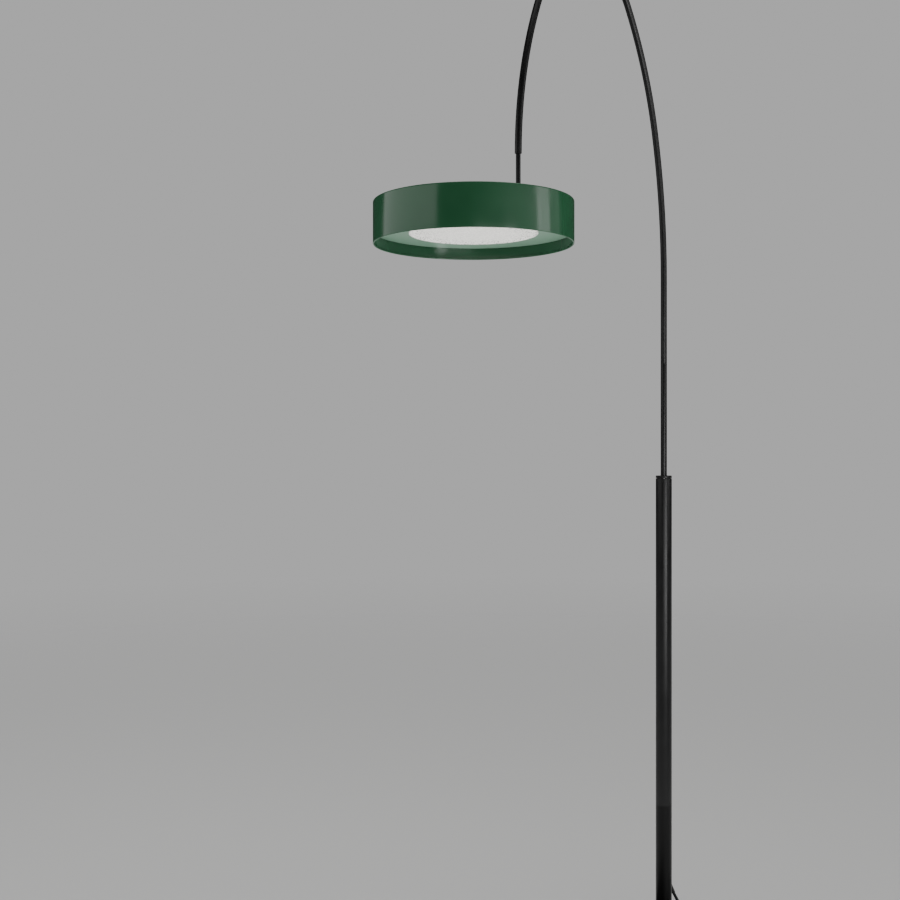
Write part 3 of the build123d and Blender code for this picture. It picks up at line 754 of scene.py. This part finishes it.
def make_plug_body():
    """A flat two-pin plug: a ribbed neck that widens into the body."""
    length = PLUG_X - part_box("plug_body")[0][0]
    neck_y, neck_z, body_y, body_z = 6.5 * MM, 5.5 * MM, 16.5 * MM, 6.75 * MM
    spread_end = 20 * MM
    rings = []

    def section(distance, wide, inset=0.0):
        """A cross section that runs from the neck's (wide 0) to the body's (wide 1)."""
        half_y = neck_y + (body_y - neck_y) * wide - inset
        half_z = neck_z + (body_z - neck_z) * wide - inset
        corner = min(half_z - 0.3 * MM, 5 * MM)
        plan = rounded([
            (half_y, half_z, corner), (half_y, -half_z, corner),
            (-half_y, -half_z, corner), (-half_y, half_z, corner),
        ], steps=7)
        x = PLUG_X - distance
        return [Vector((x, PLUG_Y + v, PLUG_Z + w)) for v, w in plan]

    rings.append(section(0, 0, 1.4 * MM))
    rings.append(section(0.5 * MM, 0, 0.3 * MM))
    steps = 22
    for step in range(steps + 1):
        distance = 1 * MM + (spread_end - 1 * MM) * step / steps
        part = distance / spread_end
        groove = 0.7 * MM if step in (3, 6, 9, 12) else 0
        rings.append(section(distance, part * part * (3 - 2 * part), groove))
    rings.append(section(length - 1.2 * MM, 1))
    rings.append(section(length - 0.35 * MM, 1, 0.35 * MM))
    rings.append(section(length, 1, 1.2 * MM))
    mesh = joined_rings("plug_shell", rings, closed=False)
    return new_piece("plug_shell", mesh, BLACK_PLASTIC, "root", "black_plastic", "plug_body")


PIN_GAP = 9.3 * MM
PIN_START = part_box("plug_pins")[1][0]
PIN_LENGTH = PIN_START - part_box("plug_pins")[0][0]


def make_pins():
    """Two round pins with a rounded tip and an insulating sleeve on the near half."""
    back = Vector((-1, 0, 0))
    made = []
    for name, side in (("left", -1), ("right", 1)):
        start = Vector((PIN_START, PLUG_Y + side * PIN_GAP, PLUG_Z))
        tip = [0.45 * PIN_LENGTH, 0.93 * PIN_LENGTH, 0.975 * PIN_LENGTH, PIN_LENGTH]
        radii = [2 * MM, 2 * MM, 1.6 * MM, 0.8 * MM]
        made.append(pipe(f"pin_{name}", along(start, back, tip), radii, NICKEL, "root",
                         "pin_brass", "plug_pins", segments=28))
        sleeve = [0, 0.42 * PIN_LENGTH, 0.455 * PIN_LENGTH]
        made.append(pipe(f"pin_sleeve_{name}", along(start, back, sleeve),
                         [1.9 * MM, 1.9 * MM, 1.75 * MM], BLACK_PLASTIC, "root",
                         "black_plastic", "plug_pins", segments=28))
    return made


def make_cord_tie():
    """A soft strap closed round the coil's turns, with its tail lying over its start."""
    low, high = levels("cord_tie")
    outward = Vector((-1, 1, 0)).normalized()
    across = Vector((1, 1, 0)).normalized()
    inner, outer = 26.2 * MM, 49.6 * MM
    centre = Vector((COIL_X, COIL_Y, (low + high) / 2)) + outward * ((inner + outer) / 2)
    half_u = (outer - inner) / 2
    half_w = (high - low) / 2 - 0.5 * MM
    loop = rounded([
        (-half_u, half_w, 3 * MM), (-half_u, -half_w, 3 * MM),
        (half_u, -half_w, 3 * MM), (half_u, half_w, 3 * MM),
    ], steps=6)
    tail = [(half_u * k, half_w + lift * MM) for k, lift in ((0.5, 0), (0.1, 0), (-0.2, 0))]
    start = [(half_u * k, half_w - 1.1 * MM) for k in (0.55, 0.1, -0.35)]
    path = start + [(-half_u + 2.6 * MM, half_w - 0.7 * MM)] + loop[2:] + tail
    thick, wide = 0.5 * MM, 6 * MM
    rings = []
    for i, (u, w) in enumerate(path):
        before, after = path[max(i - 1, 0)], path[min(i + 1, len(path) - 1)]
        ahead = (outward * (after[0] - before[0]) + UP * (after[1] - before[1])).normalized()
        normal = across.cross(ahead)
        place = centre + outward * u + UP * w
        section = rounded([
            (wide, thick, 0.35 * MM), (wide, -thick, 0.35 * MM),
            (-wide, -thick, 0.35 * MM), (-wide, thick, 0.35 * MM),
        ], steps=3)
        rings.append([place + across * a + normal * b for a, b in section])
    mesh = joined_rings("coil_strap", rings, closed=False)
    return new_piece("coil_strap", mesh, STRAP, "root", "black_plastic", "cord_tie")


def make_button_spring():
    """The wire spring under the button, wound as a coil with a mesh of its own."""
    spring = coiled("wire_spring", "button_spring", 0.5 * MM, 4, STEEL, "root", "bare_steel")
    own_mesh(spring)


cord = make_cord()
make_gland()
make_strain_relief()
make_switch_base()
make_switch_cover()
make_switch_button()
make_plug_body()
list(make_pins())
make_cord_tie()

make_button_spring()

# ---------------------------------------------------------------- head
WALL = 1.5 * MM
HUB_HOLE = 8.2 * MM


def make_drum():
    """Spun drum: thin wall, closed top with a soft edge, and a small hem round the open rim."""
    inside = HEAD_R - WALL
    top_in = HEAD_HIGH - WALL
    hem = 0.9 * MM
    outline = rounded([
        (0, HEAD_HIGH, 0),
        (HEAD_R, HEAD_HIGH, 2.5 * MM),
        (HEAD_R, HEAD_LOW, 0.8 * MM),
        (inside - hem, HEAD_LOW, 0.8 * MM),
        (inside - hem, HEAD_LOW + 3 * MM, 0.3 * MM),
        (inside, HEAD_LOW + 4 * MM, 0.3 * MM),
        (inside, top_in, 1 * MM),
        (0, top_in, 0),
    ])
    drum = lathe("drum_shade", outline, HEAD, GREEN, "head", "green_lacquer", "shade_shell",
                 segments=320)
    drill(drum, Vector((*TIP, top_in - 3 * MM)), UP, HUB_HOLE, 9 * MM)
    return drum


def make_inner_plate():
    """The round plate inside the drum: a flat ring with rounded edges, drilled for three screws."""
    low, high = levels("inner_plate")
    opening, outer = 108 * MM, half_width("inner_plate")
    outline = rounded([
        (opening, low, 0.5 * MM),
        (outer, low, 0.5 * MM),
        (outer, high, 0.3 * MM),
        (opening, high, 0.3 * MM),
    ], steps=4)
    plate = lathe("ring_plate", outline, HEAD, PLATE, "head", "green_plate", "inner_plate",
                  segments=256)
    screws, ring, hole = 3, 116 * MM, 3.1 * MM
    for screw in range(screws):
        angle = 2 * pi * screw / screws
        place = Vector((HEAD_X + ring * cos(angle), ring * sin(angle), low - 2 * MM))
        drill(plate, place, UP, hole, 6 * MM)
    shade_smooth(plate.data, 8)  # a low angle keeps the flat face flat up to its edges
    return plate


def make_diffuser():
    """One moulded sheet: a soft round edge, and rows of small pyramids sunk into its face."""
    low, high = levels("diffuser")
    radius = half_width("diffuser")
    outline = rounded([
        (0, low, 0), (radius, low, 1 * MM), (radius, high, 0.3 * MM), (0, high, 0),
    ])
    sheet = lathe("prism_diffuser", outline, HEAD, OPAL, "head", "opal_diffuser", "diffuser",
                  segments=256)
    cell, depth, rim = 3.6 * MM, 0.85 * MM, 4 * MM
    count = 2 * ceil(radius / cell) + 2
    bm = bmesh.new()
    bmesh.ops.create_grid(bm, x_segments=count, y_segments=count, size=count * cell / 2)
    pits = [face for face in bm.faces if face.calc_center_median().length < radius - rim]
    edge = [side for side in bm.edges if side.is_boundary]
    skirt = bmesh.ops.extrude_edge_only(bm, edges=edge)["geom"]
    raised = [item for item in skirt if isinstance(item, bmesh.types.BMVert)]
    bmesh.ops.translate(bm, verts=raised, vec=(0, 0, 10 * MM))
    bmesh.ops.poke(bm, faces=pits, offset=depth)
    top = [side for side in bm.edges if side.is_boundary]
    bmesh.ops.edgeloop_fill(bm, edges=top)
    bmesh.ops.recalc_face_normals(bm, faces=bm.faces)
    bmesh.ops.translate(bm, verts=bm.verts, vec=(HEAD_X, 0, low + 0.05 * MM))
    mesh = bpy.data.meshes.new("pitted_block")
    bm.to_mesh(mesh)
    bm.free()
    block = bpy.data.objects.new("pitted_block", mesh)
    bpy.context.collection.objects.link(block)
    combine(sheet, block, "INTERSECT")
    return sheet


def make_hub():
    """The turned hub that the drum turns by: flange, boss with a groove, and threaded shank."""
    low, high = levels("head_hub")
    flange_top = HEAD_HIGH + 5 * MM
    bore = 4.8 * MM
    outline = rounded([
        (bore, high, 0.4 * MM),
        (10 * MM, high, 1.5 * MM),
        (10 * MM, high - 6 * MM, 0.2 * MM),
        (9.4 * MM, high - 6.4 * MM, 0.2 * MM),
        (9.4 * MM, high - 7.4 * MM, 0.2 * MM),
        (10 * MM, high - 7.8 * MM, 0.2 * MM),
        (10 * MM, flange_top, 1.2 * MM),
        (19 * MM, flange_top, 1.5 * MM),
        (19 * MM, HEAD_HIGH, 0.2 * MM),
        (8 * MM, HEAD_HIGH, 0),
    ], steps=4)
    pitch = 1 * MM
    threads = int((HEAD_HIGH - low) / pitch) - 1
    for thread in range(threads):
        height = HEAD_HIGH - (thread + 0.5) * pitch
        outline += [(7.95 * MM, height), (7.45 * MM, height - pitch / 2)]
    outline += [(7.4 * MM, low), (bore, low)]
    return lathe("turned_hub", outline, TIP, BLACK, "head", "black_lacquer", "head_hub",
                 segments=96)


make_drum()
make_inner_plate()
make_diffuser()
make_hub()

# ---------------------------------------------------------------- arm
ROD_R, ROD_BORE = 7 * MM, 5.5 * MM
JOINT_Z = levels("arm_arch")[0]
BEND_START = 1481 * MM
ROD_BENDS = ((1440, 13.0), (838, 18.8), (162, 116.5), (452, 8.6), (828, 23.1))


def tube(name, node, axis, outer, bore, material, body, slot, edge=0.4 * MM, segments=96):
    """A plain upright tube in the place of a CAD node, with softened ends."""
    low, high = levels(node)
    outline = rounded([
        (bore, low, edge / 2), (outer, low, edge), (outer, high, edge), (bore, high, edge / 2),
    ], steps=3)
    return lathe(name, outline, axis, material, body, slot, node, segments=segments)


def arch_points():
    """The rod's centreline: straight up, then bends of falling and rising radius toward -X."""
    x, z, heading = POLE_X, BEND_START, 0.0
    points = [Vector((x, 0, JOINT_Z)), Vector((x, 0, (JOINT_Z + z) / 2)), Vector((x, 0, z))]
    for radius, degrees in ROD_BENDS:
        radius *= MM
        steps = max(ceil(degrees / 1.5), 8)
        for step in range(1, steps + 1):
            turned = heading + radians(degrees) * step / steps
            points.append(Vector((
                x - radius * (cos(heading) - cos(turned)), 0,
                z + radius * (sin(turned) - sin(heading)),
            )))
        x, z = points[-1].x, points[-1].z
        heading = turned
    return points


def make_arch():
    """The arched rod, as a bent tube."""
    points = arch_points()
    return pipe("arched_rod", points, [ROD_R] * len(points), BLACK, "arm", "black_lacquer",
                "arm_arch", bore=ROD_BORE, segments=48)


make_arch()
tube("rod_stem", "arm_stem", POLE, ROD_R, ROD_BORE, BLACK, "arm", "black_lacquer", 0.1 * MM)
tube("thin_end_rod", "end_rod", TIP, 4.75 * MM, 3.4 * MM, BLACK, "arm", "black_lacquer")
tube("reducing_ferrule", "end_ferrule", TIP, 5.35 * MM, 4.75 * MM, BLACK, "arm", "black_lacquer",
     0.2 * MM)

# ---------------------------------------------------------------- pole
POLE_R, POLE_BORE = 18 * MM, 16 * MM


def make_pole():
    """The pole's tube, with softened ends and the lead's slanted hole."""
    low, high = levels("pole_tube")
    outline = rounded([
        (POLE_BORE, low, 0), (POLE_R, low, 0.3 * MM), (POLE_R, high, 0.5 * MM),
        (POLE_BORE, high, 0),
    ], steps=3)
    pole = lathe("pole_column", outline, POLE, BLACK, "root", "black_lacquer", "pole_tube")
    drill(pole, EXIT_POINT - EXIT_DIR * 14 * MM, EXIT_DIR, 6.1 * MM, 30 * MM)
    return pole


def make_swivel_cap():
    """The cap that turns with the arm: rounded over, and countersunk round the rod."""
    low, high = levels("swivel_cap")
    bore = ROD_R + 0.4 * MM
    outline = rounded([
        (bore, low, 0.2 * MM),
        (POLE_R, low, 0.4 * MM),
        (POLE_R, high, 1.1 * MM),
        (bore + 0.7 * MM, high, 0.3 * MM),
        (bore, high - 0.7 * MM, 0.2 * MM),
    ], steps=5)
    return lathe("turning_cap", outline, POLE, BLACK, "swivel", "black_lacquer", "swivel_cap")


def make_pole_foot():
    """The turned foot: a low collar on the base, and a plug inside the tube."""
    low, high = levels("pole_foot")
    flange_top = low + 5 * MM
    outline = rounded([
        (5 * MM, low, 0),
        (22 * MM, low, 0.3 * MM),
        (22 * MM, flange_top, 2 * MM),
        (POLE_BORE, flange_top, 0),
        (POLE_BORE, high, 1 * MM),
        (0, high, 0),
        (0, high - 12 * MM, 0),
        (5 * MM, high - 12 * MM, 0.3 * MM),
    ], steps=5)
    return lathe("foot_collar", outline, POLE, BLACK, "root", "black_lacquer", "pole_foot")


def make_curly_lead():
    """The lead's curly stretch inside the pole, wound as a coil with a mesh of its own."""
    curls = coiled("curly_inner_lead", "curly_lead", 3 * MM, 30, JACKET, "root",
                   slot_of_node["curly_lead"])
    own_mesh(curls)


make_pole()
make_swivel_cap()
make_pole_foot()
make_curly_lead()

# ---------------------------------------------------------------- base
def make_base_cover():
    """The spun base cover: a soft shoulder, and a thin wall down to its lower edge."""
    low, high = levels("base_cover")
    radius = half_width("base_cover")
    outline = rounded([
        (0, high, 0),
        (radius, high, 4 * MM),
        (radius, low, 0.6 * MM),
        (radius - WALL, low, 0.6 * MM),
        (radius - WALL, high - WALL, 2.5 * MM),
        (0, high - WALL, 0),
    ], steps=8)
    cover = lathe("base_shell", outline, (0, 0), BLACK, "root", "black_lacquer", "base_cover",
                  segments=256)
    drill(cover, Vector((*POLE, high - 4 * MM)), UP, 5.5 * MM, 8 * MM)
    return cover


def make_base_pad():
    """The rubber pad under the base, with grooves that keep it from sliding."""
    low, high = levels("base_pad")
    radius = half_width("base_pad")
    groove, pitch, depth = 1.6 * MM, 10 * MM, 0.7 * MM
    outline = [(0, high), (radius, high), (radius, low + 0.4 * MM), (radius - 0.5 * MM, low)]
    grooves = int(radius / pitch) - 1
    for ring in range(grooves, 0, -1):
        place = ring * pitch
        outline += [
            (place + groove / 2, low), (place + groove / 2 - 0.2 * MM, low + depth),
            (place - groove / 2 + 0.2 * MM, low + depth), (place - groove / 2, low),
        ]
    outline.append((0, low))
    pad = lathe("rubber_pad", outline, (0, 0), RUBBER, "root", "black_rubber", "base_pad",
                segments=192)
    drill(pad, Vector((*POLE, low - 2 * MM)), UP, 12 * MM, 8 * MM)
    return pad


make_base_cover()
make_base_pad()


# ---------------------------------------------------------------- floor and light
BACK_TONE = 0.46  # what the camera sees
FLOOR_TONE = 0.46  # below the horizon
FILL_TONE = 0.75  # what lights matt surfaces
DARK_TONE = 0.03  # what gloss mirrors


def make_floor():
    """A pale floor whose far edge fades into the background."""
    mesh = bpy.data.meshes.new("floor")
    bm = bmesh.new()
    bmesh.ops.create_circle(bm, cap_ends=True, segments=96, radius=9)
    bm.to_mesh(mesh)
    bm.free()
    floor = bpy.data.objects.new("floor", mesh)
    bpy.context.collection.objects.link(floor)
    material, tree, shader = new_material("pale_floor")
    shader.inputs["Base Color"].default_value = (0.5, 0.5, 0.495, 1)
    shader.inputs["Roughness"].default_value = 0.8
    shader.inputs["Specular IOR Level"].default_value = 0.2
    distance = tree.nodes.new("ShaderNodeVectorMath")
    distance.operation = "LENGTH"
    tree.links.new(coords(tree), distance.inputs[0])
    clear = tree.nodes.new("ShaderNodeBsdfTransparent")
    fade = tree.nodes.new("ShaderNodeMixShader")
    tree.links.new(spread(tree, distance.outputs["Value"], 0, 1, 1.5, 8), fade.inputs["Fac"])
    tree.links.new(shader.outputs["BSDF"], fade.inputs[1])
    tree.links.new(clear.outputs["BSDF"], fade.inputs[2])
    tree.links.new(fade.outputs["Shader"], tree.nodes["Material Output"].inputs["Surface"])
    mesh.materials.append(material)


make_floor()


def area_light(name, about, bearing, distance, height, size, radiance, glossy=True,
               diffuse=True, aim=None, beam=None):
    """A soft box on a circle about a place, in degrees to the right of the camera's side.

    It faces the height aim, or is level. Its size is (width, height), its beam a full angle.
    """
    light = bpy.data.lights.new(name, "AREA")
    light.shape = "RECTANGLE"
    light.size, light.size_y = size
    light.energy = radiance * pi * size[0] * size[1]
    if beam is not None:
        half = radians(beam) / 2
        light.spread = 2 * half
        light.energy *= (tan(half) - half) / tan(half)  # undoes the gain of a narrow beam
    box = bpy.data.objects.new(name, light)
    angle = radians(bearing)
    outward = TO_CAMERA * cos(angle) + TO_RIGHT * sin(angle)
    box.location = Vector((*about, height)) + outward * distance
    target = Vector((*about, height if aim is None else aim))
    box.rotation_euler = (target - box.location).to_track_quat("-Z", "Y").to_euler()
    box.visible_camera = False
    box.visible_glossy = glossy
    box.visible_diffuse = diffuse
    bpy.context.collection.objects.link(box)
    return light


def brighten_across(light, low, high):
    """Make a soft box's brightness rise from its left edge to its right, as seen from the lamp."""
    light.use_nodes = True
    tree = light.node_tree
    geometry = tree.nodes.new("ShaderNodeNewGeometry")
    split = tree.nodes.new("ShaderNodeSeparateXYZ")
    tree.links.new(geometry.outputs["Parametric"], split.inputs["Vector"])
    level = spread(tree, split.outputs["X"], low, high, 0, 1)
    tree.links.new(level, tree.nodes["Emission"].inputs["Strength"])


# Panels and strips that the drum and the pole mirror, then light that only shades.
area_light("left_panel", HEAD, -80.5, 2.4, 2.15, (3.96, 1.3), 1.25)
area_light("right_strip", HEAD, 81, 2.6, 2.1, (0.83, 1.4), 2.4, diffuse=False)
area_light("right_glow", HEAD, 99, 2.6, 2.1, (0.88, 1.4), 0.45, diffuse=False)
broad = area_light("right_panel", HEAD, 43, 3.0, 2.1, (4.2, 1.3), 1.1)
brighten_across(broad, 0.0, 0.7)
area_light("pole_strip", POLE, 24, 2.4, 1.0, (0.5, 0.9), 13.5, diffuse=False)
area_light("pole_wash", POLE, 3, 2.4, 1.0, (1.1, 0.9), 3.0, diffuse=False)
area_light("right_key", HEAD, 76, 2.2, 1.7, (1.2, 2.0), 4.8, glossy=False, beam=80)
area_light("overhead", POLE, 0, 0.4, 3.6, (2.4, 2.4), 1.4, aim=0)
area_light("bounce", HEAD, 0, 0.05, 0.3, (1.5, 1.5), 3.6, glossy=False, aim=2)


def make_world():
    """A studio that is pale to look at and for fill light, and dark above where gloss mirrors it."""
    world = bpy.data.worlds.new("studio")
    world.use_nodes = True
    tree = world.node_tree
    source = tree.nodes.new("ShaderNodeTexCoord")
    split = tree.nodes.new("ShaderNodeSeparateXYZ")
    tree.links.new(source.outputs["Generated"], split.inputs["Vector"])
    rays = tree.nodes.new("ShaderNodeLightPath")
    above = mix_colours(tree, rays.outputs["Is Glossy Ray"], (FILL_TONE,) * 3, (DARK_TONE,) * 3)
    above = mix_colours(tree, rays.outputs["Is Camera Ray"], above, (BACK_TONE,) * 3)
    horizon = spread(tree, split.outputs["Z"], 0, 1, -0.03, 0.0)
    tone = mix_colours(tree, horizon, (FLOOR_TONE,) * 3, above)
    tree.links.new(tone, tree.nodes["Background"].inputs["Color"])
    bpy.context.scene.world = world


make_world()
